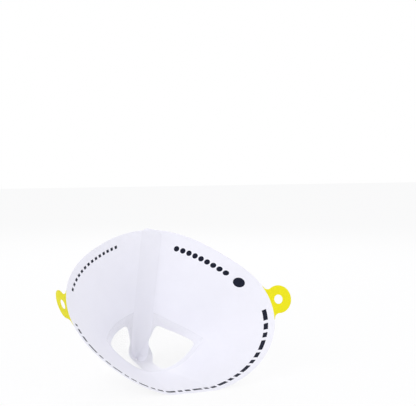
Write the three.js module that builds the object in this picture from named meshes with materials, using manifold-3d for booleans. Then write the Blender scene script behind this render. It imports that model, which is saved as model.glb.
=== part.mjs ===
// Cone strainer of folded paper with two screened windows and two hanging ears.
//
// The strainer lies on its side, as it rests on a bench. Its mouth faces -Y, its tip
// points to +Y, the ears stand out along X, and the glued seam is on top.
//
// The paper is cut flat and bent into a cone, so every point of it has a flat place:
// turn, the angle round the tip from the middle of the seam, and reach, the distance
// from the tip. The seam is at turn 0 and again at turn fullTurn.

import * as THREE from "three";
import { mergeVertices } from "three/addons/utils/BufferGeometryUtils.js";
import Module from "manifold-3d";

const wasm = await Module();
wasm.setup();

const DEG = Math.PI / 180;

// Paper cone, in millimetres
const PAPER = 0.3;
const HALF_ANGLE = 35.3 * DEG;
const REACH_AT_SEAM = 129.8;
const REACH_AT_EARS = 148.6;
const REACH_BETWEEN = 136.7;
const TIP_OPENING = 2.5;
const TIP_FOLD = 5.2;

// Bending of the round section, as shares of its radius
const LEAN = -0.096;
const PEAK = -0.053;
const SQUARE_ALONG = 0.024;
const SQUARE_ACROSS = -0.022;
const FLAT_SHARE = 0.968;

// Glued seam
const INNER_FLAP = 10.3;
const OUTER_FLAP = 7.9;
const FLAP_CORNER = 5;
const FLAP_SINK = 0.1;
const FLAP_SKIN = 0.05;
const FLAP_ROOT = 2 * DEG;
const FLAP_ROOT_RISE = 0.2;
const FLAP_MOST = 22 * DEG;
const OUTER_FLAP_RISE = 1.6;
const INNER_FLAP_RISE = -0.6;
const STEP_START = 24 * DEG;
const STEP_END = 34 * DEG;

// Ears
const EAR_HEAD = 11.8;
const EAR_CENTRE = 7.6;
const EAR_FILLET = 3;
const EAR_HOLE = 3.9;
const EAR_ROOT = 1;
const EAR_ROOT_SKIN = 0.1;
const EAR_BEND = 4;
const EAR_ROW_EASE = 1.2;
const EAR_LEAST = 0.05;

// Windows, each corner as turn from the seam and reach from the tip
const WINDOW_CORNERS = [
  { turn: 20.8 * DEG, reach: 41.7 },
  { turn: 58.4 * DEG, reach: 65.7 },
  { turn: 93.7 * DEG, reach: 45.8 },
  { turn: 82 * DEG, reach: 21 },
  { turn: 24.5 * DEG, reach: 20.8 },
];
const WINDOW_CORNER = 5;

// Screen of open gauze on the inner face
const SCREEN = 0.3;
const SCREEN_GAP = 0.3;
const SCREEN_INNER_REACH = 9;
const SCREEN_AT_SEAM = 50;
const SCREEN_AT_EARS = 75;
const SCREEN_AT_BOTTOM = 53;
const SCREEN_EAR_TURN = 57 * DEG;
const SCREEN_SIDE_TURN = 0.5 * DEG;
const SCREEN_PAST_BOTTOM = 10 * DEG;
const MESH_PITCH = 4.6;
const MESH_OPENING = 3;
const MESH_MARGIN = 1;

// Fineness of the bent surface
const SECTION_STEPS = 1440;
const WALL_COLUMNS = 96;
const FLAP_COLUMNS = 8;
const WINDOW_COLUMNS = 24;
const SCREEN_COLUMNS = 44;
const EAR_COLUMNS = 8;
const EAR_ROWS = 14;
const HOLE_SIDES = 32;
const CORNER_STEPS = 8;
const END_SHARE = 0.001;
const MERGE_WITHIN = 1e-5;
const CUT_DEPTH = 3;

const mix = THREE.MathUtils.lerp;

// Bent section of the cone

// Distance of the wall from the axis, for a cone one unit high, at an angle round it.
function sectionRadius(angle) {
  const bend =
    LEAN * Math.sin(2 * angle) +
    PEAK * Math.sin(3 * angle) +
    SQUARE_ALONG * Math.cos(4 * angle) +
    SQUARE_ACROSS * Math.sin(4 * angle);
  return Math.tan(HALF_ANGLE) * (1 + bend);
}

const sectionAngles = Array.from(
  { length: SECTION_STEPS + 1 },
  (_, i) => Math.PI / 2 + (i / SECTION_STEPS) * 2 * Math.PI,
);
const lowest = Math.min(...sectionAngles.map((angle) => sectionRadius(angle) * Math.sin(angle)));
const floorHeight = FLAT_SHARE * lowest;

// The axis rises towards the mouth just enough to lay the lowest strip level.
const axisRise = Math.atan(-floorHeight);
const across = new THREE.Vector3(1, 0, 0);
const upward = new THREE.Vector3(0, Math.sin(axisRise), Math.cos(axisRise));
const axis = new THREE.Vector3(0, -Math.cos(axisRise), Math.sin(axisRise));

const rays = sectionAngles.map((angle) => {
  const radius = sectionRadius(angle);
  const height = Math.max(radius * Math.sin(angle), floorHeight);
  return new THREE.Vector3()
    .addScaledVector(across, radius * Math.cos(angle))
    .addScaledVector(upward, height)
    .add(axis)
    .normalize();
});
const turns = [0];
for (let i = 1; i < rays.length; i += 1) {
  turns.push(turns[i - 1] + rays[i].angleTo(rays[i - 1]));
}
const fullTurn = turns[SECTION_STEPS];

// Direction from the tip along the wall at a turn, and the outward normal there.
function wallRay(turn) {
  const wrapped = ((turn % fullTurn) + fullTurn) % fullTurn;
  let low = 0;
  let high = SECTION_STEPS;
  while (high - low > 1) {
    const middle = (low + high) >> 1;
    if (turns[middle] > wrapped) {
      high = middle;
    } else {
      low = middle;
    }
  }
  const share = (wrapped - turns[low]) / (turns[high] - turns[low]);
  return rays[low].clone().lerp(rays[high], share).normalize();
}

function wallFrame(turn) {
  const ray = wallRay(turn);
  const sideways = wallRay(turn + DEG).sub(wallRay(turn - DEG)).normalize();
  const normal = new THREE.Vector3().crossVectors(sideways, ray).normalize();
  return { ray, sideways, normal };
}

// A flat place bent on to the cone, at a height above the inner face.
function bend(turn, reach, height) {
  const { ray, normal } = wallFrame(turn);
  return ray.multiplyScalar(reach).addScaledVector(normal, height);
}

// Outer edge of the paper. It reaches furthest at the ears.
function rim(turn) {
  const round = (2 * Math.PI * turn) / fullTurn;
  const middle = (REACH_AT_EARS + REACH_AT_SEAM + 2 * REACH_BETWEEN) / 4;
  const swing = (REACH_AT_EARS - REACH_AT_SEAM) / 2;
  const fullness = middle - REACH_BETWEEN;
  return middle - swing * Math.cos(2 * round) + fullness * Math.cos(4 * round);
}

// Inner face of the paper. It lies one paper further in where it starts under the seam.
function innerFace(turn) {
  return -PAPER * (1 - THREE.MathUtils.smoothstep(turn, STEP_START, STEP_END));
}

// Flat outlines

function flatPoint({ turn, reach }) {
  return new THREE.Vector2(reach * Math.cos(turn), reach * Math.sin(turn));
}

// Closed outline through corners, each rounded off from a distance before it.
function roundedOutline(corners, rounding) {
  const path = new THREE.Path();
  corners.forEach((corner, i) => {
    const before = corners[(i + corners.length - 1) % corners.length];
    const after = corners[(i + 1) % corners.length];
    const start = before.clone().sub(corner).setLength(rounding).add(corner);
    const end = after.clone().sub(corner).setLength(rounding).add(corner);
    if (i === 0) {
      path.moveTo(start.x, start.y);
    } else {
      path.lineTo(start.x, start.y);
    }
    path.quadraticCurveTo(corner.x, corner.y, end.x, end.y);
  });
  path.closePath();
  return path.getPoints(CORNER_STEPS);
}

// Reaches at which the line from the tip at a turn crosses an outline.
function crossings(outline, turn) {
  const ray = new THREE.Vector2(Math.cos(turn), Math.sin(turn));
  const found = [];
  outline.forEach((point, i) => {
    const next = outline[(i + 1) % outline.length];
    const side = ray.cross(point);
    const nextSide = ray.cross(next);
    if (side > 0 !== nextSide > 0) {
      found.push(ray.dot(point.clone().lerp(next, side / (side - nextSide))));
    }
  });
  return { first: Math.min(...found), last: Math.max(...found) };
}

// Closed solids

function solidFrom(positions, triangles) {
  let geometry = new THREE.BufferGeometry();
  geometry.setAttribute("position", new THREE.Float32BufferAttribute(positions, 3));
  geometry.setIndex(triangles);
  geometry = mergeVertices(geometry, MERGE_WITHIN);
  const vertices = geometry.attributes.position.array;
  const corners = geometry.index.array;
  const kept = [];
  for (let i = 0; i < corners.length; i += 3) {
    const [a, b, c] = [corners[i], corners[i + 1], corners[i + 2]];
    if (a !== b && b !== c && c !== a) {
      kept.push(a, b, c);
    }
  }
  const corner = (index) => new THREE.Vector3().fromArray(vertices, 3 * index);
  let volume = 0;
  for (let i = 0; i < kept.length; i += 3) {
    volume += corner(kept[i]).dot(corner(kept[i + 1]).cross(corner(kept[i + 2])));
  }
  if (volume < 0) {
    kept.reverse();
  }
  return new wasm.Manifold(new wasm.Mesh({
    numProp: 3,
    vertProperties: new Float32Array(vertices),
    triVerts: new Uint32Array(kept),
  }));
}

// Plate with two faces of columns by rows points, place(u, v, face) giving each point.
function plate(columns, rows, place) {
  const positions = [];
  const triangles = [];
  const index = (i, j, face) => (face * (columns + 1) + i) * (rows + 1) + j;
  for (const face of [0, 1]) {
    for (let i = 0; i <= columns; i += 1) {
      for (let j = 0; j <= rows; j += 1) {
        positions.push(...place(i / columns, j / rows, face).toArray());
      }
    }
  }
  const quad = (a, b, c, d) => triangles.push(a, b, c, a, c, d);
  for (let i = 0; i < columns; i += 1) {
    for (let j = 0; j < rows; j += 1) {
      quad(index(i, j, 0), index(i, j + 1, 0), index(i + 1, j + 1, 0), index(i + 1, j, 0));
      quad(index(i, j, 1), index(i + 1, j, 1), index(i + 1, j + 1, 1), index(i, j + 1, 1));
    }
    quad(index(i, 0, 0), index(i + 1, 0, 0), index(i + 1, 0, 1), index(i, 0, 1));
    quad(index(i, rows, 0), index(i, rows, 1), index(i + 1, rows, 1), index(i + 1, rows, 0));
  }
  for (let j = 0; j < rows; j += 1) {
    quad(index(0, j, 0), index(0, j, 1), index(0, j + 1, 1), index(0, j + 1, 0));
    quad(index(columns, j, 0), index(columns, j + 1, 0), index(columns, j + 1, 1), index(columns, j, 1));
  }
  return solidFrom(positions, triangles);
}

// Bent plate between two turns, with its reaches and heights given at each turn.
function bentPlate(from, to, columns, reaches, heights) {
  return plate(columns, 1, (u, v, face) => {
    const turn = mix(from, to, u);
    return bend(turn, reaches(turn)[v], heights(turn)[face]);
  });
}

// Paper cone

// One flap of the seam. Its free edge is parallel to the seam, its outer corner is
// round, and that corner stands a little above or below the rim of the sheet it lies on.
function seamFlap(width, direction, rise, heights) {
  const top = rim(0) + rise;
  const corner = new THREE.Vector2(top - FLAP_CORNER, width - FLAP_CORNER);
  const cornerTurn = Math.atan2(width, corner.x);
  const reachAt = (turn) => {
    const ray = new THREE.Vector2(Math.cos(turn), Math.sin(turn));
    const free = turn > 0 ? width / ray.y : Infinity;
    const share = THREE.MathUtils.clamp((turn + FLAP_ROOT) / (cornerTurn + FLAP_ROOT), 0, 1);
    const edge = Math.min(free, rim(turn) + mix(FLAP_ROOT_RISE, rise, share));
    const inCorner = edge * ray.x > corner.x && edge * ray.y > corner.y;
    const offset = ray.cross(corner);
    return inCorner ? ray.dot(corner) + Math.sqrt(FLAP_CORNER ** 2 - offset ** 2) : edge;
  };
  return plate(FLAP_COLUMNS * 2, 1, (u, v, face) => {
    const turn = u < 0.5 ? mix(-FLAP_ROOT, cornerTurn, 2 * u) : mix(cornerTurn, FLAP_MOST, 2 * u - 1);
    return bend(direction * turn, [TIP_OPENING, reachAt(turn)][v], heights[face]);
  });
}

// Tab with a round head and concave fillets, flat beyond its root.
function ear(middleTurn) {
  const root = rim(middleTurn);
  const flat = wallFrame(middleTurn);
  const filletAcross = Math.sqrt((EAR_HEAD + EAR_FILLET) ** 2 - (EAR_CENTRE - EAR_FILLET) ** 2);
  const filletEnd = EAR_CENTRE - (EAR_HEAD * (EAR_CENTRE - EAR_FILLET)) / (EAR_HEAD + EAR_FILLET);
  const halfWidth = (out) => {
    if (out > filletEnd) {
      return Math.sqrt(Math.max(EAR_HEAD ** 2 - (out - EAR_CENTRE) ** 2, 0));
    }
    const drop = Math.min(EAR_FILLET - out, EAR_FILLET);
    return filletAcross - Math.sqrt(EAR_FILLET ** 2 - drop ** 2);
  };
  const place = (side, out, height) => {
    const along = root + out;
    const bent = bend(middleTurn + Math.atan2(side, along), Math.hypot(side, along), height);
    const level = flat.ray
      .clone()
      .multiplyScalar(along)
      .addScaledVector(flat.sideways, side)
      .addScaledVector(flat.normal, height);
    return bent.lerp(level, THREE.MathUtils.smoothstep(out, 0, EAR_BEND));
  };
  const tip = EAR_CENTRE + EAR_HEAD;
  const tab = plate(EAR_COLUMNS, EAR_ROWS, (u, v, face) => {
    const out = v === 0 ? -EAR_ROOT : tip * Math.sin((v * Math.PI) / 2) ** EAR_ROW_EASE;
    const side = Math.max(halfWidth(Math.max(out, 0)), EAR_LEAST) * (2 * u - 1);
    const sag = rim(middleTurn + Math.atan2(side, root)) - root;
    const eased = out + sag * (1 - THREE.MathUtils.smoothstep(out, 0, EAR_BEND));
    const skin = v === 0 ? EAR_ROOT_SKIN : 0;
    return place(side, eased, mix(skin, PAPER - skin, face));
  });
  const hole = new THREE.CylinderGeometry(EAR_HOLE, EAR_HOLE, 2 * CUT_DEPTH, HOLE_SIDES);
  hole.applyQuaternion(new THREE.Quaternion().setFromUnitVectors(new THREE.Vector3(0, 1, 0), flat.normal));
  hole.translate(...flat.ray.clone().multiplyScalar(root + EAR_CENTRE).toArray());
  return { tab, hole: solidFrom(Array.from(hole.attributes.position.array), Array.from(hole.index.array)) };
}

const windowOutline = roundedOutline(WINDOW_CORNERS.map(flatPoint), WINDOW_CORNER);

function windowCutter(direction) {
  const outlineTurns = windowOutline.map((point) => point.angle());
  const low = Math.min(...outlineTurns);
  const high = Math.max(...outlineTurns);
  return plate(WINDOW_COLUMNS, 1, (u, v, face) => {
    const eased = mix(END_SHARE, 1 - END_SHARE, (1 - Math.cos(Math.PI * u)) / 2);
    const turn = mix(low, high, eased);
    const { first, last } = crossings(windowOutline, turn);
    return bend(direction * turn, [first, last][v], mix(-CUT_DEPTH, CUT_DEPTH, face));
  });
}

// The folded point that closes the tip, solid as far as the layers lie pressed together.
function tipFold() {
  const half = (from, to) => plate(WALL_COLUMNS / 4, 1, (u, v, face) => {
    const middle = axis.clone().multiplyScalar(v * TIP_FOLD * Math.cos(HALF_ANGLE) - PAPER);
    return face === 0 || v === 0 ? middle : bend(mix(from, to, u), TIP_FOLD, PAPER / 2);
  });
  return half(0, fullTurn / 2).add(half(fullTurn / 2, fullTurn));
}

function paperSolid() {
  const half = (from, to) => bentPlate(
    from,
    to,
    WALL_COLUMNS / 2,
    (turn) => [TIP_OPENING, rim(turn)],
    (turn) => [innerFace(turn), innerFace(turn) + PAPER],
  );
  let paper = half(0, fullTurn / 2).add(half(fullTurn / 2, fullTurn));
  paper = paper.add(seamFlap(INNER_FLAP, -1, INNER_FLAP_RISE, [FLAP_SKIN - PAPER, FLAP_SINK]));
  paper = paper.add(seamFlap(OUTER_FLAP, 1, OUTER_FLAP_RISE, [-FLAP_SINK, PAPER - FLAP_SKIN]));
  paper = paper.add(tipFold());
  for (const middleTurn of [fullTurn / 4, (3 * fullTurn) / 4]) {
    const { tab, hole } = ear(middleTurn);
    paper = paper.add(tab).subtract(hole);
  }
  for (const direction of [1, -1]) {
    paper = paper.subtract(windowCutter(direction));
  }
  return paper;
}

// Screen

function screenOuter(turn) {
  const half = Math.min(turn, fullTurn - turn);
  const edge = [
    new THREE.Vector2(SCREEN_AT_SEAM, -OUTER_FLAP),
    new THREE.Vector2(SCREEN_AT_SEAM, OUTER_FLAP),
    flatPoint({ turn: SCREEN_EAR_TURN, reach: SCREEN_AT_EARS }),
    flatPoint({ turn: fullTurn / 2, reach: SCREEN_AT_BOTTOM }),
    flatPoint({ turn: fullTurn / 2 + SCREEN_PAST_BOTTOM, reach: SCREEN_AT_BOTTOM }),
    new THREE.Vector2(0, 0),
  ];
  return crossings(edge, half).last;
}

function screenInner(turn) {
  const onRight = turn > fullTurn / 2;
  const half = onRight ? fullTurn - turn : turn;
  const edge = onRight ? INNER_FLAP + SCREEN_GAP : OUTER_FLAP;
  const beside = half < Math.PI / 2 ? edge / Math.sin(half) : 0;
  return Math.max(beside, SCREEN_INNER_REACH);
}

function screenSolid() {
  const start = Math.atan2(OUTER_FLAP, SCREEN_AT_SEAM) + SCREEN_SIDE_TURN;
  const end = fullTurn - Math.atan2(INNER_FLAP + SCREEN_GAP, SCREEN_AT_SEAM) - SCREEN_SIDE_TURN;
  const sheet = bentPlate(
    start,
    end,
    SCREEN_COLUMNS,
    (turn) => [screenInner(turn), screenOuter(turn)],
    (turn) => [innerFace(turn) - SCREEN_GAP - SCREEN, innerFace(turn) - SCREEN_GAP],
  );
  return meshOpenings().reduce((screen, opening) => screen.subtract(opening), sheet);
}

// Square openings of the gauze, wherever one lies well inside a window.
function meshOpenings() {
  const openings = [];
  const half = MESH_OPENING / 2;
  const inside = (x, y) => {
    const turn = Math.atan2(y, x);
    const { first, last } = crossings(windowOutline, turn);
    const reach = Math.hypot(x, y);
    return reach > first + MESH_MARGIN && reach < last - MESH_MARGIN;
  };
  const most = Math.ceil(SCREEN_AT_EARS / MESH_PITCH);
  for (let column = -most; column <= most; column += 1) {
    for (let row = 0; row <= most; row += 1) {
      const x = column * MESH_PITCH;
      const y = (row + 0.5) * MESH_PITCH;
      const sides = [-half, half];
      if (sides.every((right) => sides.every((up) => inside(x + right, y + up)))) {
        for (const direction of [1, -1]) {
          openings.push(plate(1, 1, (u, v, face) => {
            const placeX = x + mix(-half, half, u);
            const placeY = y + mix(-half, half, v);
            const turn = direction * Math.atan2(placeY, placeX);
            return bend(turn, Math.hypot(placeX, placeY), mix(-CUT_DEPTH, CUT_DEPTH, face));
          }));
        }
      }
    }
  }
  return openings;
}

// Scene graph

const paperWhite = new THREE.Color(0xf2f2f7);
const earYellow = new THREE.Color(0xeee622);

function meshFrom(name, solid, material, colourAt) {
  const { vertProperties, triVerts } = solid.getMesh();
  const indexed = new THREE.BufferGeometry();
  indexed.setAttribute("position", new THREE.BufferAttribute(new Float32Array(vertProperties), 3));
  indexed.setIndex(Array.from(triVerts));
  const geometry = indexed.toNonIndexed();
  const position = geometry.attributes.position;
  const colours = [];
  for (let i = 0; i < position.count; i += 3) {
    const middle = new THREE.Vector3();
    for (const corner of [i, i + 1, i + 2]) {
      middle.add(new THREE.Vector3().fromBufferAttribute(position, corner));
    }
    const colour = colourAt(middle.divideScalar(3));
    colours.push(...colour.toArray(), ...colour.toArray(), ...colour.toArray());
  }
  geometry.setAttribute("color", new THREE.Float32BufferAttribute(colours, 3));
  geometry.computeVertexNormals();
  const mesh = new THREE.Mesh(geometry, material);
  mesh.name = name;
  return mesh;
}

const paperMaterial = new THREE.MeshStandardMaterial({ vertexColors: true, roughness: 0.7, metalness: 0 });
const screenMaterial = new THREE.MeshStandardMaterial({ vertexColors: true, roughness: 0.6, metalness: 0 });

// The ears are printed yellow from the rim outwards.
function paperColour(point) {
  const beside = Math.abs(point.x) > REACH_AT_EARS * Math.sin(HALF_ANGLE) - EAR_HEAD;
  return beside && point.length() > REACH_AT_EARS ? earYellow : paperWhite;
}

const strainer = new THREE.Group();
strainer.add(meshFrom("paper_cone", paperSolid(), paperMaterial, paperColour));
strainer.add(meshFrom("mesh_screen", screenSolid(), screenMaterial, () => paperWhite));

// The origin is under the middle of the strainer, on the surface that it lies on.
const box = new THREE.Box3().setFromObject(strainer);
strainer.position.set(-(box.min.x + box.max.x) / 2, -(box.min.y + box.max.y) / 2, -box.min.z);

export default strainer;
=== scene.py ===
"""A folded paper cone strainer with two gauze windows and two hanging ears, lying on its side.

The paper is modelled as a flat blank, cut to its outline, and then bent into a cone. A
place on the flat blank is a turn, the angle round the tip from the middle of the seam,
and a reach, the distance from the tip.
"""

import math

import bpy
from mathutils import Matrix, Vector


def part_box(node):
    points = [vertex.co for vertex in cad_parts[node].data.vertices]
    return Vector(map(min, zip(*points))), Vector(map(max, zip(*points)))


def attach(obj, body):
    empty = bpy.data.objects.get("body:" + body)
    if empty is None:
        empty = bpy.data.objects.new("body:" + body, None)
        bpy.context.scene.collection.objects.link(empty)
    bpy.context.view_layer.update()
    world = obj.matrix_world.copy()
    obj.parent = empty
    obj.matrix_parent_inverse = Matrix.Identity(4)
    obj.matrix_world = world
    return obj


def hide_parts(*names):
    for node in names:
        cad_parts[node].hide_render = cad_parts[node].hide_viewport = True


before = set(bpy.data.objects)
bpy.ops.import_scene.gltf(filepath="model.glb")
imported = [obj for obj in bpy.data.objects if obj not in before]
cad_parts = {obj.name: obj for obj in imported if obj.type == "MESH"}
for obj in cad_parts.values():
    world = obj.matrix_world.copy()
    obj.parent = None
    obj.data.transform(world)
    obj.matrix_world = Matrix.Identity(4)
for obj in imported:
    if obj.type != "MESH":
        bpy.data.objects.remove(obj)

bl_info = {
    "name": "Paper cone strainer",
    "version": (1, 0, 0),
    "blender": (4, 5, 0),
    "location": "3D View > Sidebar > Strainer",
    "description": "Builds a folded paper cone strainer around its packed frame",
    "category": "Add Mesh",
}

MM = 0.001
DEG = math.radians(1)

# The CAD model's box, before anything is added
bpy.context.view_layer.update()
CONE_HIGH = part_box("paper_cone")[1]

# The tip of the cone, a little inside the far end of the CAD cone and just over the floor
TIP_SIDE = -0.61 * MM
TIP_INSET = 0.25 * MM
TIP_RISE = 0.3 * MM
TIP = Vector((TIP_SIDE, CONE_HIGH[1] - TIP_INSET, TIP_RISE))

# Paper cone, as cut and bent
PAPER = 0.3 * MM
HALF_ANGLE = 35.3 * DEG
REACH_AT_SEAM = 129.8 * MM
REACH_AT_EARS = 148.6 * MM
REACH_BETWEEN = 136.7 * MM
TIP_HOLE = 0.7 * MM
LEAN = -0.096
PEAK = -0.053
SQUARE_ALONG = 0.024
SQUARE_ACROSS = -0.022
FLAT_SHARE = 0.968
SECTION_STEPS = 1440

# Glued seam
INNER_FLAP = 10.3 * MM
OUTER_FLAP = 7.9 * MM
FLAP_CORNER = 5 * MM
FLAP_ROOT = 2 * DEG
FLAP_MOST = 22 * DEG
OUTER_FLAP_RISE = 1.6 * MM
INNER_FLAP_RISE = -0.6 * MM
STEP_START = 24 * DEG
STEP_END = 34 * DEG
SEAM_ZONE = math.pi / 3

# Ears
EAR_HEAD = 11.8 * MM
EAR_CENTRE = 7.6 * MM
EAR_FILLET = 3 * MM
EAR_HOLE = 3.9 * MM
EAR_BEND = 4 * MM
EAR_ZONE = 9 * DEG

# Windows, each corner as turn from the seam and reach from the tip
WINDOW_CORNERS = (
    (20.8 * DEG, 41.7 * MM),
    (58.4 * DEG, 65.7 * MM),
    (93.7 * DEG, 45.8 * MM),
    (82 * DEG, 21 * MM),
    (24.5 * DEG, 20.8 * MM),
)
WINDOW_ROUNDING = 5 * MM

# Gauze on the inner face
SCREEN_INNER_REACH = 9 * MM
SCREEN_AT_SEAM = 50 * MM
SCREEN_AT_EARS = 75 * MM
SCREEN_AT_BOTTOM = 53 * MM
SCREEN_EAR_TURN = 57 * DEG
SCREEN_EDGE_START = 2 * MM
SCREEN_DEPTH = 0.38 * MM
SCREEN_THICKNESS = 0.1 * MM

# Printed marks, in millimetres along the rim and in from it
PRINT_SPAN = (137.0, 374.5)
PRINT_REPEAT = 26.0
PRINT_EDGE = 6.4
FINE_SPAN = (35.0, 108.0)
FINE_REPEAT = 5.2
FINE_ROW = (8.2, 11.2)
DOT_SPAN = (414.8, 476.0)
DOT_PITCH = 6.8
DOT_ROW = 14.0
DOT_RADIUS = 2.7
DISC_PLACE = 404.0
DISC_RADIUS = 5.0

# Where the bars start and end, as shares of their repeat
LONG_BAR_END = 0.34
MIDDLE_BAR = (0.44, 0.6)
SHORT_BAR = (0.7, 0.9)
FINE_BAR_END = 0.55

# Paper finish, and how much faint clouds, the painted shade on the doubled seam and the ink change it
PAPER_BRIGHTNESS = 0.985
PAPER_ROUGHNESS = 0.5
CLOUD_SCALE = 90.0
CLOUD_BRIGHTNESS = 0.03
CLOUD_ROUGHNESS = 0.08
# Painted shade: the doubled strip along the glued seam is darkened by this share, where two layers of
# paper let less light through
SEAM_PAINTED_SHADE = 0.035
INK_SMOOTHNESS = 0.08
FIBRE_SCALE = 2200.0
FIBRE_BUMP = 0.12
FIBRE_DEPTH = 0.04 * MM
SPECULAR = 0.2

# Gauze finish, where the weave's wave is thread above its edge, which covers more than a gap
THREAD_EDGE = 0.8
THREAD_COVER = 0.08
GAP_COVER = 0.03
THREAD_ROUGHNESS = 0.6
THREAD_BUMP = 0.2
THREAD_DEPTH = 0.05 * MM
THREAD_GLOW = 0.5

# Fineness of the outlines, in steps along each piece of them
CORNER_STEPS = 8
FILLET_STEPS = 8
HEAD_STEPS = 24
FLAP_STEPS = 12
TIP_STEPS = 120
SCREEN_STEPS = 40
HOLE_SIDES = 48
RIM_STEP = DEG
RIM_BEFORE_EAR = 0.2 * DEG
RIM_AFTER_EAR = 0.8 * DEG

# Flat sheets, whose rows lie closer together near the tip, and how they are cut and smoothed
SHEET_START = TIP_HOLE / 4
SHEET_MARGIN = 2 * MM
ROW_EASE = 1.3
SCREEN_COLUMNS = 150
SCREEN_ROWS = 16
CUT_DEPTH = 2 * MM
MERGE_WITHIN = 0.004 * MM
SMOOTH_ANGLE = 40 * DEG

# Soft lamps, each with its place, its width and its power, and the level light round them
LAMPS = (
    ("window_light", (-0.75, -0.6, 0.7), 0.7, 4.0),
    ("fill_light", (0.7, -0.5, 0.3), 0.9, 1.5),
    ("back_light", (0.35, 0.85, 0.75), 0.9, 3.0),
)
LAMP_TARGET = Vector((0, 0, 50 * MM))
WORLD_LIGHT = 0.75
WORLD_COLOUR = (0.97, 0.97, 1.0)
FLOOR_SIZE = 6
FLOOR_COLOUR = (0.9, 0.9, 0.91)
FLOOR_WHITENESS = 0.86
WHITE = (1.0, 1.0, 1.0)

# Camera, from how the rim, ears and windows lie in the picture
PICTURE_WIDTH = 416
FOCAL_PIXELS = 1000
SENSOR_WIDTH = 36
CLIP_START = 0.01
SLANT = 140 * MM
TIP_FROM_CAMERA = Vector((-0.4689, 1.0239, 6.5483)) * SLANT

# The cone's own directions as the camera sees them, to its right, down and ahead
SEEN_ACROSS = (0.9317, -0.0214, 0.3627)
SEEN_UPWARD = (-0.1993, -0.8648, 0.4609)
SEEN_AXIS = (0.3038, -0.5017, -0.8099)

# Sockets of nodes that share a name with others, by their number
ATTRIBUTE_VALUE = 2
OBJECT_PLACE = 3
SECOND_OF_THREE = 1
MIX_SHARE = 0
MIX_FIRST = 6
MIX_SECOND = 7
MIX_COLOUR = 2


def mix(a, b, share):
    return a + (b - a) * share


def clamp(value):
    return min(max(value, 0.0), 1.0)


def smoothstep(value, low, high):
    share = clamp((value - low) / (high - low))
    return share * share * (3 - 2 * share)


class StrainerSizes(bpy.types.PropertyGroup):
    """Sizes that a user would change."""

    wall_columns: bpy.props.IntProperty(
        name="Wall columns", description="Strips round the bent cone", default=240, min=48)
    wall_rows: bpy.props.IntProperty(
        name="Wall rows", description="Rows from the tip to the ears", default=40, min=8)
    weave_pitch: bpy.props.FloatProperty(
        name="Weave pitch", description="Distance between threads of the gauze", default=0.55 * MM,
        subtype="DISTANCE", unit="LENGTH")
    print_band: bpy.props.FloatProperty(
        name="Printed band", description="Height of the printed marks along the rim",
        default=4.4 * MM, subtype="DISTANCE", unit="LENGTH")


class StrainerColours(bpy.types.PropertyGroup):
    """Colours of the paper, its print and the gauze."""

    paper: bpy.props.FloatVectorProperty(
        name="Paper", description="Coated white paper", subtype="COLOR", size=3,
        default=(0.88, 0.878, 0.93))
    ears: bpy.props.FloatVectorProperty(
        name="Ears", description="Yellow ink on the ears", subtype="COLOR", size=3,
        default=(0.83, 0.765, 0.006))
    ink: bpy.props.FloatVectorProperty(
        name="Ink", description="Dark ink of the printed marks", subtype="COLOR", size=3,
        default=(0.004, 0.006, 0.02))
    gauze: bpy.props.FloatVectorProperty(
        name="Gauze", description="White threads", subtype="COLOR", size=3,
        default=(1.0, 1.0, 1.0))


# The bent section of the cone

def section_radius(angle):
    """Distance of the wall from the axis, for a cone one unit high."""
    swell = LEAN * math.sin(2 * angle) + PEAK * math.sin(3 * angle)
    swell += SQUARE_ALONG * math.cos(4 * angle) + SQUARE_ACROSS * math.sin(4 * angle)
    return math.tan(HALF_ANGLE) * (1 + swell)


def section_angles():
    return [math.pi / 2 + 2 * math.pi * i / SECTION_STEPS for i in range(SECTION_STEPS + 1)]


FLOOR_HEIGHT = FLAT_SHARE * min(section_radius(a) * math.sin(a) for a in section_angles())
AXIS_RISE = math.atan(-FLOOR_HEIGHT)
ACROSS = Vector((1, 0, 0))
UPWARD = Vector((0, math.sin(AXIS_RISE), math.cos(AXIS_RISE)))
AXIS = Vector((0, -math.cos(AXIS_RISE), math.sin(AXIS_RISE)))


def make_rays():
    """Directions from the tip along the wall, and the turn at each."""
    rays = []
    turns = [0.0]
    for angle in section_angles():
        radius = section_radius(angle)
        height = max(radius * math.sin(angle), FLOOR_HEIGHT)
        ray = (ACROSS * radius * math.cos(angle) + UPWARD * height + AXIS).normalized()
        if rays:
            turns.append(turns[-1] + ray.angle(rays[-1]))
        rays.append(ray)
    return rays, turns


RAYS, TURNS = make_rays()
FULL_TURN = TURNS[-1]
EAR_TURNS = (FULL_TURN / 4, 3 * FULL_TURN / 4)


def wall_ray(turn):
    wrapped = turn % FULL_TURN
    low, high = 0, SECTION_STEPS
    while high - low > 1:
        middle = (low + high) // 2
        if TURNS[middle] > wrapped:
            high = middle
        else:
            low = middle
    share = (wrapped - TURNS[low]) / (TURNS[high] - TURNS[low])
    return RAYS[low].lerp(RAYS[high], share).normalized()


def wall_frame(turn):
    ray = wall_ray(turn)
    sideways = (wall_ray(turn + DEG) - wall_ray(turn - DEG)).normalized()
    return ray, sideways, sideways.cross(ray).normalized()


def rim(turn):
    """Outer edge of the paper, which reaches furthest at the ears."""
    around = 2 * math.pi * turn / FULL_TURN
    middle = (REACH_AT_EARS + REACH_AT_SEAM + 2 * REACH_BETWEEN) / 4
    swing = (REACH_AT_EARS - REACH_AT_SEAM) / 2
    fullness = middle - REACH_BETWEEN
    return middle - swing * math.cos(2 * around) + fullness * math.cos(4 * around)


def inner_face(turn):
    """Height of the inner face, one paper further in where the blank starts under the seam."""
    return -PAPER * (1 - smoothstep(turn, STEP_START, STEP_END))


def nearest_ear(turn):
    return min(EAR_TURNS, key=lambda ear: abs(ear - turn))


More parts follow.
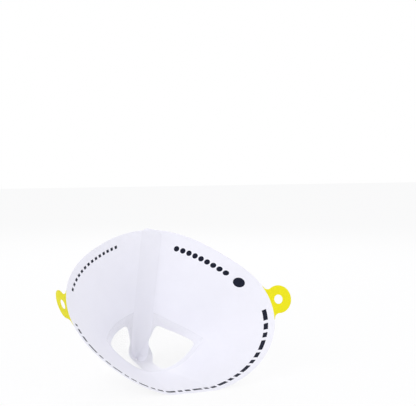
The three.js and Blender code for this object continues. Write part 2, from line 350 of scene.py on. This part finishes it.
def bend(turn, reach, height):
    """A flat place bent on to the cone, where the ears level out to flat tabs."""
    ray, _, normal = wall_frame(turn)
    bent = ray * reach + normal * height
    ear = nearest_ear(turn)
    out = reach - rim(turn)
    if out > 0 and abs(turn - ear) < EAR_ZONE:
        ray, sideways, normal = wall_frame(ear)
        side = turn - ear
        level = ray * reach * math.cos(side) + sideways * reach * math.sin(side) + normal * height
        bent = bent.lerp(level, smoothstep(out, 0, EAR_BEND))
    return TIP + bent


def flat(turn, reach):
    return Vector((reach * math.cos(turn), reach * math.sin(turn), 0))


# Flat outlines

def rounded(corners, rounding):
    """A closed outline whose corners are rounded off from a distance before each."""
    points = []
    for i, corner in enumerate(corners):
        start = corner + (corners[i - 1] - corner).normalized() * rounding
        end = corner + (corners[(i + 1) % len(corners)] - corner).normalized() * rounding
        for k in range(CORNER_STEPS + 1):
            share = k / CORNER_STEPS
            points.append(start.lerp(corner, share).lerp(corner.lerp(end, share), share))
    return points


def ear_outline(middle_turn):
    """One side of the round-headed tab and then the other, from its first fillet."""
    root = rim(middle_turn)
    centres = EAR_HEAD + EAR_FILLET
    across = math.sqrt(centres ** 2 - (EAR_CENTRE - EAR_FILLET) ** 2)
    meet = math.atan2(EAR_CENTRE - EAR_FILLET, across)
    half = []
    for k in range(FILLET_STEPS + 1):
        angle = mix(-math.pi / 2, -math.pi - meet, k / FILLET_STEPS)
        half.append((across + EAR_FILLET * math.cos(angle), EAR_FILLET + EAR_FILLET * math.sin(angle)))
    for k in range(1, HEAD_STEPS + 1):
        angle = mix(-meet, math.pi / 2, k / HEAD_STEPS)
        half.append((EAR_HEAD * math.cos(angle), EAR_CENTRE + EAR_HEAD * math.sin(angle)))
    tab = [(-side, out) for side, out in half] + [(side, out) for side, out in reversed(half[:-1])]
    points = []
    for side, out in tab:
        sag = rim(middle_turn + math.atan2(side, root)) - root
        along = root + out + sag * (1 - smoothstep(out, 0, EAR_BEND))
        points.append(flat(middle_turn + math.atan2(side, along), math.hypot(side, along)))
    return points, math.atan2(across, root)


def flap_edge(width, rise, direction, base):
    """The free edge of a flap, from the tip outwards to where its round corner meets the rim."""
    top = rim(0) + rise
    points = []
    for k in range(FLAP_STEPS + 1):
        reach = mix(TIP_HOLE, width / math.sin(FLAP_MOST), k / FLAP_STEPS)
        points.append(flat(base + direction * FLAP_MOST, reach))
    centre_x, centre_y = top - FLAP_CORNER, width - FLAP_CORNER
    for k in range(FLAP_STEPS + 1):
        angle = mix(math.pi / 2, 0, k / FLAP_STEPS)
        x = centre_x + FLAP_CORNER * math.cos(angle)
        y = centre_y + FLAP_CORNER * math.sin(angle)
        points.append(flat(base + direction * math.atan2(y, x), math.hypot(x, y)))
    return points


def blank_outline():
    """The outer outline of the flat blank, once round."""
    points = flap_edge(INNER_FLAP, INNER_FLAP_RISE, -1, 0)
    start = -math.atan2(INNER_FLAP - FLAP_CORNER, rim(0) - FLAP_CORNER)
    end = FULL_TURN + math.atan2(OUTER_FLAP - FLAP_CORNER, rim(0) - FLAP_CORNER)
    turn = start + RIM_STEP
    tabs = [(ear, *ear_outline(ear)) for ear in EAR_TURNS]
    while turn < end - RIM_STEP:
        tab = next((t for t in tabs if abs(turn - t[0]) < t[2] + RIM_BEFORE_EAR), None)
        if tab:
            points += tab[1]
            turn = tab[0] + tab[2] + RIM_AFTER_EAR
            tabs.remove(tab)
            continue
        rise = INNER_FLAP_RISE * clamp((FLAP_ROOT - turn) / (FLAP_ROOT - start))
        rise += OUTER_FLAP_RISE * clamp((turn - FULL_TURN + FLAP_ROOT) / (end - FULL_TURN + FLAP_ROOT))
        points.append(flat(turn, rim(turn) + rise))
        turn += RIM_STEP
    points += reversed(flap_edge(OUTER_FLAP, OUTER_FLAP_RISE, 1, FULL_TURN))
    for k in range(1, TIP_STEPS):
        turn = mix(FULL_TURN + FLAP_MOST, -FLAP_MOST, k / TIP_STEPS)
        points.append(flat(turn, TIP_HOLE))
    return points


def window_outline(direction):
    """A window on one side of the seam, or on the other with a direction of -1."""
    corners = []
    for turn, reach in WINDOW_CORNERS:
        corners.append(flat(turn if direction > 0 else FULL_TURN - turn, reach))
    return rounded(corners, WINDOW_ROUNDING)


def screen_outline():
    """Outline of the gauze, from its edge beside one side of the seam to the other."""
    left_edge = OUTER_FLAP + PAPER
    right_edge = INNER_FLAP + 2 * PAPER
    corner_turns = (SCREEN_EAR_TURN, FULL_TURN / 2, FULL_TURN - SCREEN_EAR_TURN)
    corner_reaches = (SCREEN_AT_EARS, SCREEN_AT_BOTTOM, SCREEN_AT_EARS)
    points = [flat(math.atan2(left_edge, SCREEN_AT_SEAM), math.hypot(left_edge, SCREEN_AT_SEAM))]
    points += [flat(turn, reach) for turn, reach in zip(corner_turns, corner_reaches)]
    last = FULL_TURN - math.atan2(right_edge, SCREEN_AT_SEAM)
    points.append(flat(last, math.hypot(right_edge, SCREEN_AT_SEAM)))
    first_inner = FULL_TURN - math.asin(right_edge / (right_edge + SCREEN_EDGE_START))
    last_inner = math.asin(left_edge / (left_edge + SCREEN_EDGE_START))
    for k in range(SCREEN_STEPS + 1):
        turn = mix(first_inner, last_inner, k / SCREEN_STEPS)
        half = min(turn, FULL_TURN - turn)
        edge = right_edge if turn > FULL_TURN / 2 else left_edge
        beside = edge / math.sin(half) if half < math.pi / 2 else 0
        points.append(flat(turn, max(SCREEN_INNER_REACH, beside)))
    return points


# Modelling steps

def only(obj):
    """Leaves obj as the one selected and active object."""
    bpy.ops.object.select_all(action="DESELECT")
    obj.select_set(True)
    bpy.context.view_layer.objects.active = obj


def prism(name, outline, depth):
    """A closed prism through the flat sheet, from a round primitive moved on to the outline."""
    bpy.ops.mesh.primitive_circle_add(vertices=len(outline), radius=1, fill_type="NGON")
    obj = bpy.context.object
    obj.name = name
    for vertex, point in zip(obj.data.vertices, outline):
        vertex.co = (point.x, point.y, -depth)
    bpy.ops.object.mode_set(mode="EDIT")
    bpy.ops.mesh.select_all(action="SELECT")
    bpy.ops.mesh.extrude_region_move(TRANSFORM_OT_translate={"value": (0, 0, 2 * depth)})
    bpy.ops.mesh.select_all(action="SELECT")
    bpy.ops.mesh.normals_make_consistent(inside=False)
    bpy.ops.object.mode_set(mode="OBJECT")
    return obj


def cut(obj, cutter, operation):
    """Cuts obj with cutter, which is then deleted."""
    only(obj)
    modifier = obj.modifiers.new(cutter.name, "BOOLEAN")
    modifier.object = cutter
    modifier.operation = operation
    modifier.solver = "EXACT"
    bpy.ops.object.modifier_apply(modifier=modifier.name)
    bpy.data.objects.remove(cutter)


def flat_sheet(name, first_turn, last_turn, reach, columns, rows, thickness):
    """A thin plate of fine cells round the flat tip, from one turn to another."""
    bpy.ops.mesh.primitive_grid_add(x_subdivisions=columns, y_subdivisions=rows, size=2)
    obj = bpy.context.object
    obj.name = name
    obj.data.name = name
    for vertex in obj.data.vertices:
        turn = mix(first_turn, last_turn, (vertex.co.x + 1) / 2)
        out = mix(SHEET_START, reach, ((vertex.co.y + 1) / 2) ** ROW_EASE)
        vertex.co = flat(turn, out)
    only(obj)
    modifier = obj.modifiers.new("thickness", "SOLIDIFY")
    modifier.thickness = thickness
    modifier.offset = 0
    bpy.ops.object.modifier_apply(modifier=modifier.name)
    bpy.ops.object.mode_set(mode="EDIT")
    bpy.ops.mesh.select_all(action="SELECT")
    bpy.ops.mesh.normals_make_consistent(inside=False)
    bpy.ops.object.mode_set(mode="OBJECT")
    return obj


def flat_turn(point):
    """The turn of a flat place, running on past half a circle."""
    turn = math.atan2(point.y, point.x)
    wrap = FULL_TURN / 2 - math.pi
    return turn if turn > wrap else turn + 2 * math.pi


def seam_distance(turn, reach, inner):
    """Distance from the seam's middle line, on the sheet that is seen over the other one."""
    first_half = turn < FULL_TURN / 2
    side = turn if first_half else turn - FULL_TURN
    if first_half != inner or abs(side) > SEAM_ZONE:
        return reach
    return reach * math.sin(side)


def store_flat_places(obj):
    """Keeps each corner's place on the flat blank, for the print, the painted seam shade and the weave
    to follow.
    """
    mesh = obj.data
    flat_map = mesh.uv_layers.new(name="flat_blank")
    for loop in mesh.loops:
        point = mesh.vertices[loop.vertex_index].co
        flat_map.data[loop.index].uv = (point.x / MM, point.y / MM)
    for name in ("from_rim", "along_rim", "from_seam", "on_ear", "printed_face"):
        mesh.attributes.new(name, "FLOAT", "POINT")
    kept = mesh.attributes
    for vertex in mesh.vertices:
        point = vertex.co
        turn = flat_turn(point)
        reach = math.hypot(point.x, point.y)
        kept["from_rim"].data[vertex.index].value = (rim(turn) - reach) / MM
        kept["along_rim"].data[vertex.index].value = turn * REACH_BETWEEN / MM
        kept["from_seam"].data[vertex.index].value = seam_distance(turn, reach, point.z < 0) / MM
        kept["on_ear"].data[vertex.index].value = float(abs(turn - nearest_ear(turn)) < EAR_ZONE)
        kept["printed_face"].data[vertex.index].value = float(point.z < 0)


def fold(obj, height_at):
    """Bends a flat piece into the cone, each corner at its own height off the inner face."""
    for vertex in obj.data.vertices:
        point = vertex.co
        turn = flat_turn(point)
        reach = math.hypot(point.x, point.y)
        vertex.co = bend(turn, reach, height_at(turn) + point.z)
    obj.data.update()


def finish_surface(obj):
    """Joins doubles, splits large faces and smooths the shading of all but sharp edges."""
    only(obj)
    bpy.ops.object.mode_set(mode="EDIT")
    bpy.ops.mesh.select_all(action="SELECT")
    bpy.ops.mesh.remove_doubles(threshold=MERGE_WITHIN)
    bpy.ops.mesh.quads_convert_to_tris(quad_method="BEAUTY", ngon_method="BEAUTY")
    bpy.ops.object.mode_set(mode="OBJECT")
    bpy.ops.object.shade_smooth_by_angle(angle=SMOOTH_ANGLE)


# Materials

class Wire:
    """A node socket that builds math nodes when Python works with it."""

    def __init__(self, maker, socket):
        self.maker = maker
        self.socket = socket

    def math(self, operation, *values):
        return self.maker.node("ShaderNodeMath", {"operation": operation}, (self, *values))

    def __add__(self, other):
        return self.math("ADD", other)

    def __sub__(self, other):
        return self.math("SUBTRACT", other)

    def __rsub__(self, other):
        return self.maker.node("ShaderNodeMath", {"operation": "SUBTRACT"}, (other, self))

    def __mul__(self, other):
        return self.math("MULTIPLY", other)

    __rmul__ = __mul__

    def __truediv__(self, other):
        return self.math("DIVIDE", other)

    def above(self, limit):
        return self.math("GREATER_THAN", limit)

    def below(self, limit):
        return self.math("LESS_THAN", limit)

    def abs(self):
        return self.math("ABSOLUTE")

    def fract(self):
        return self.math("FRACT")

    def most(self, other):
        return self.math("MAXIMUM", other)

    def sine(self):
        return self.math("SINE")

    def between(self, low, high):
        return self.above(low) * self.below(high)


class Finish:
    """A material or world under construction, whose nodes come from one method."""

    def __init__(self, owner, output="ShaderNodeOutputMaterial"):
        self.owner = owner
        self.owner.use_nodes = True
        self.tree = self.owner.node_tree
        self.tree.nodes.clear()
        self.output = self.tree.nodes.new(output)

    def node(self, kind, settings=None, values=(), named=None, out=0):
        """A new node with its settings, then its values or links, first by place and then by name."""
        made = self.tree.nodes.new(kind)
        for key, value in (settings or {}).items():
            setattr(made, key, value)
        pairs = list(enumerate(values)) + list((named or {}).items())
        for key, value in pairs:
            if isinstance(value, Wire):
                self.tree.links.new(value.socket, made.inputs[key])
            else:
                made.inputs[key].default_value = value
        return Wire(self, made.outputs[out])

    def attribute(self, name):
        return self.node("ShaderNodeAttribute", {"attribute_name": name}, out=ATTRIBUTE_VALUE)

    def seen_ray(self):
        """1 for a ray by which the background is seen, straight or in gloss or through gauze."""
        path = self.tree.nodes.new("ShaderNodeLightPath")
        camera, glossy, through = [
            Wire(self, path.outputs[name])
            for name in ("Is Camera Ray", "Is Glossy Ray", "Is Transmission Ray")
        ]
        return camera.most(glossy).most(through)

    def blend(self, share, first, second):
        """A mix of two colours."""
        sockets = {MIX_SHARE: share, MIX_FIRST: first, MIX_SECOND: second}
        return self.node("ShaderNodeMix", {"data_type": "RGBA"}, (), sockets, out=MIX_COLOUR)

    def surface(self, wire):
        self.tree.links.new(wire.socket, self.output.inputs["Surface"])
        return self.owner


def rgba(colour):
    return (*colour, 1.0)


def paper_material():
    """Coated white paper with yellow ears, a broken dark band of print inside the rim and painted
    shade on the doubled seam.
    """
    scene = bpy.context.scene
    colours = scene.strainer_colours
    finish = Finish(bpy.data.materials.new("printed_paper"))
    place = finish.node("ShaderNodeTexCoord", out=OBJECT_PLACE)
    cloud = finish.node(
        "ShaderNodeTexNoise", None, (), {"Vector": place, "Scale": CLOUD_SCALE, "Detail": 3.0})
    fibre = finish.node(
        "ShaderNodeTexNoise", None, (), {"Vector": place, "Scale": FIBRE_SCALE, "Detail": 2.0})
    printed = finish.attribute("printed_face").above(0.5)
    from_rim = finish.attribute("from_rim")
    along = finish.attribute("along_rim")
    ear = finish.attribute("on_ear").above(0.5) * from_rim.below(0.0) * printed

    band = scene.strainer_sizes.print_band / MM
    strong = from_rim.between(PRINT_EDGE, PRINT_EDGE + band) * print_marks(along)
    fine = from_rim.between(*FINE_ROW) * fine_marks(along)
    dots = dot_marks(along, from_rim)
    ink = strong.most(fine).most(dots) * printed

    # Painted shade on the doubled seam strip, which is darkened where two layers of paper let less
    # light through
    painted_seam_shade_mask = finish.attribute("from_seam").between(-INNER_FLAP / MM, OUTER_FLAP / MM)
    brightness_with_painted_seam_shade = PAPER_BRIGHTNESS - SEAM_PAINTED_SHADE * painted_seam_shade_mask + CLOUD_BRIGHTNESS * cloud
    base = finish.node(
        "ShaderNodeVectorMath", {"operation": "SCALE"}, (tuple(colours.paper),), {"Scale": brightness_with_painted_seam_shade})
    coloured = finish.blend(ear, base, rgba(colours.ears))
    coloured = finish.blend(ink, coloured, rgba(colours.ink))
    roughness = PAPER_ROUGHNESS - INK_SMOOTHNESS * ink + CLOUD_ROUGHNESS * cloud
    bump = finish.node("ShaderNodeBump", None, (), {
        "Strength": FIBRE_BUMP,
        "Distance": FIBRE_DEPTH,
        "Height": fibre,
    })
    shader = finish.node("ShaderNodeBsdfPrincipled", None, (), {
        "Base Color": coloured,
        "Roughness": roughness,
        "Normal": bump,
        "Specular IOR Level": SPECULAR,
    })
    return finish.surface(shader)


def print_marks(along):
    """Long and short plain bars that run round the lower rim."""
    step = (along / PRINT_REPEAT).fract()
    bars = step.below(LONG_BAR_END).most(step.between(*MIDDLE_BAR)).most(step.between(*SHORT_BAR))
    return bars * along.between(*PRINT_SPAN)


def fine_marks(along):
    """Short fine bars between the left ear and the seam."""
    step = (along / FINE_REPEAT).fract()
    return step.below(FINE_BAR_END) * along.between(*FINE_SPAN)


def dot_marks(along, from_rim):
    """A row of plain dots beside the seam, on the right, after one larger disc."""
    step = ((along / DOT_PITCH).fract() - 0.5) * DOT_PITCH
    row = from_rim - DOT_ROW
    dots = (step * step + row * row).below(DOT_RADIUS ** 2) * along.between(*DOT_SPAN)
    side = along - DISC_PLACE
    disc = (side * side + row * row).below(DISC_RADIUS ** 2)
    return dots.most(disc)


def gauze_material():
    """Fine white threads over and under, with the gaps between them open."""
    scene = bpy.context.scene
    colours = scene.strainer_colours
    pitch = scene.strainer_sizes.weave_pitch / MM
    finish = Finish(bpy.data.materials.new("white_gauze"))
    flat_place = finish.node("ShaderNodeUVMap", {"uv_map": "flat_blank"})
    along = finish.node("ShaderNodeSeparateXYZ", None, (flat_place,))
    across = Wire(finish, along.socket.node.outputs[SECOND_OF_THREE])
    weft = (along * (math.pi / pitch)).sine().abs()
    warp = (across * (math.pi / pitch)).sine().abs()
    thread = weft.most(warp)
    cover = THREAD_COVER * thread.above(THREAD_EDGE) + GAP_COVER
    bump = finish.node("ShaderNodeBump", None, (), {
        "Strength": THREAD_BUMP,
        "Distance": THREAD_DEPTH,
        "Height": thread,
    })
    front = finish.node("ShaderNodeBsdfPrincipled", None, (), {
        "Base Color": rgba(colours.gauze),
        "Roughness": THREAD_ROUGHNESS,
        "Specular IOR Level": SPECULAR,
        "Normal": bump,
    })
    glow = finish.node("ShaderNodeBsdfTranslucent", None, (), {"Color": rgba(colours.gauze)})
    threads = finish.node("ShaderNodeMixShader", None, (THREAD_GLOW, front, glow))
    clear = finish.node("ShaderNodeBsdfTransparent")
    return finish.surface(finish.node("ShaderNodeMixShader", None, (cover, clear, threads)))


def floor_material():
    """The pale floor, which the camera sees as almost white with a soft shadow."""
    finish = Finish(bpy.data.materials.new("pale_floor"))
    matt = finish.node("ShaderNodeBsdfDiffuse", None, (), {"Color": rgba(FLOOR_COLOUR)})
    bright = finish.node("ShaderNodeEmission", None, (), {"Color": rgba(WHITE), "Strength": 1.0})
    share = finish.seen_ray() * FLOOR_WHITENESS
    return finish.surface(finish.node("ShaderNodeMixShader", None, (share, matt, bright)))


def studio_world():
    """Soft even light from all round, seen as plain white."""
    finish = Finish(bpy.data.worlds.new("studio"), "ShaderNodeOutputWorld")
    light = finish.node("ShaderNodeBackground", None, (rgba(WORLD_COLOUR), WORLD_LIGHT))
    white = finish.node("ShaderNodeBackground", None, (rgba(WHITE), 1.0))
    return finish.surface(finish.node("ShaderNodeMixShader", None, (finish.seen_ray(), light, white)))


# Operators

class STRAINER_OT_camera(bpy.types.Operator):
    """Places the camera where the picture was taken from"""

    bl_idname = "strainer.camera"
    bl_label = "Camera"

    def execute(self, context):
        side, down, ahead = camera_directions()
        place = TIP - side * TIP_FROM_CAMERA.x - down * TIP_FROM_CAMERA.y - ahead * TIP_FROM_CAMERA.z
        turned = Matrix((side, -down, -ahead)).transposed()
        bpy.ops.object.camera_add(location=place, rotation=turned.to_euler())
        camera = context.object
        camera.name = "picture_camera"
        camera.data.sensor_width = SENSOR_WIDTH
        camera.data.lens = FOCAL_PIXELS / PICTURE_WIDTH * SENSOR_WIDTH
        camera.data.clip_start = CLIP_START
        context.scene.camera = camera
        return {"FINISHED"}


def camera_directions():
    """The camera's right, down and forward directions, from how it sees the cone's own."""
    return [
        (ACROSS * across + UPWARD * upward + AXIS * along).normalized()
        for across, upward, along in zip(SEEN_ACROSS, SEEN_UPWARD, SEEN_AXIS)
    ]


class STRAINER_OT_paper_cone(bpy.types.Operator):
    """Cuts the flat paper blank and folds it into the cone"""

    bl_idname = "strainer.paper_cone"
    bl_label = "Paper cone"

    def execute(self, context):
        sizes = context.scene.strainer_sizes
        reach = REACH_AT_EARS + EAR_CENTRE + EAR_HEAD + SHEET_MARGIN
        cone = flat_sheet(
            "folded_paper_cone", -FLAP_MOST - DEG, FULL_TURN + FLAP_MOST + DEG, reach,
            sizes.wall_columns, sizes.wall_rows, PAPER)
        cut(cone, prism("blank_outline", blank_outline(), CUT_DEPTH), "INTERSECT")
        for direction in (1, -1):
            cut(cone, prism("window", window_outline(direction), CUT_DEPTH), "DIFFERENCE")
        for ear in EAR_TURNS:
            centre = flat(ear, rim(ear) + EAR_CENTRE)
            around = [2 * math.pi * k / HOLE_SIDES for k in range(HOLE_SIDES)]
            hole = [centre + flat(angle, EAR_HOLE) for angle in around]
            cut(cone, prism("ear_hole", hole, CUT_DEPTH), "DIFFERENCE")
        store_flat_places(cone)
        fold(cone, lambda turn: inner_face(turn) + PAPER / 2)
        finish_surface(cone)
        cone.data.materials.clear()
        cone.data.materials.append(paper_material())
        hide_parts("paper_cone")
        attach(cone, "root")
        return {"FINISHED"}


class STRAINER_OT_gauze(bpy.types.Operator):
    """Cuts the gauze and folds it against the inner face of the paper"""

    bl_idname = "strainer.gauze"
    bl_label = "Gauze screen"

    def execute(self, context):
        gauze = flat_sheet(
            "gauze_screen", 0, FULL_TURN, SCREEN_AT_EARS + SHEET_MARGIN,
            SCREEN_COLUMNS, SCREEN_ROWS, SCREEN_THICKNESS)
        cut(gauze, prism("gauze_outline", screen_outline(), CUT_DEPTH), "INTERSECT")
        store_flat_places(gauze)
        fold(gauze, lambda turn: inner_face(turn) - SCREEN_DEPTH)
        finish_surface(gauze)
        gauze.data.materials.clear()
        gauze.data.materials.append(gauze_material())
        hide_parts("mesh_screen")
        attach(gauze, "root")
        return {"FINISHED"}


class STRAINER_OT_stage(bpy.types.Operator):
    """Lays the pale floor and sets the soft light"""

    bl_idname = "strainer.stage"
    bl_label = "Floor and light"

    def execute(self, context):
        bpy.ops.mesh.primitive_plane_add(size=FLOOR_SIZE)
        floor = context.object
        floor.name = "pale_floor"
        floor.data.materials.append(floor_material())
        for name, place, size, power in LAMPS:
            aim = (LAMP_TARGET - Vector(place)).to_track_quat("-Z", "Y")
            bpy.ops.object.light_add(type="AREA", location=place, rotation=aim.to_euler())
            lamp = context.object
            lamp.name = name
            lamp.data.shape = "DISK"
            lamp.data.size = size
            lamp.data.energy = power
        context.scene.world = studio_world()
        context.scene.view_settings.view_transform = "Standard"
        return {"FINISHED"}


class STRAINER_PT_panel(bpy.types.Panel):
    """Lists the steps that build the strainer"""

    bl_idname = "STRAINER_PT_panel"
    bl_label = "Paper strainer"
    bl_space_type = "VIEW_3D"
    bl_region_type = "UI"
    bl_category = "Strainer"

    def draw(self, context):
        column = self.layout.column()
        for group in (context.scene.strainer_sizes, context.scene.strainer_colours):
            for name in group.__annotations__:
                column.prop(group, name)
        for operator in STEPS:
            column.operator(operator.bl_idname)


STEPS = (STRAINER_OT_camera, STRAINER_OT_paper_cone, STRAINER_OT_gauze, STRAINER_OT_stage)
CLASSES = (StrainerSizes, StrainerColours, *STEPS, STRAINER_PT_panel)


def register():
    for cls in CLASSES:
        bpy.utils.register_class(cls)
    bpy.types.Scene.strainer_sizes = bpy.props.PointerProperty(type=StrainerSizes)
    bpy.types.Scene.strainer_colours = bpy.props.PointerProperty(type=StrainerColours)


def unregister():
    del bpy.types.Scene.strainer_colours
    del bpy.types.Scene.strainer_sizes
    for cls in reversed(CLASSES):
        bpy.utils.unregister_class(cls)


def main():
    register()
    bpy.ops.strainer.camera()
    bpy.ops.strainer.paper_cone()
    bpy.ops.strainer.gauze()
    bpy.ops.strainer.stage()


if __name__ == "__main__":
    main()
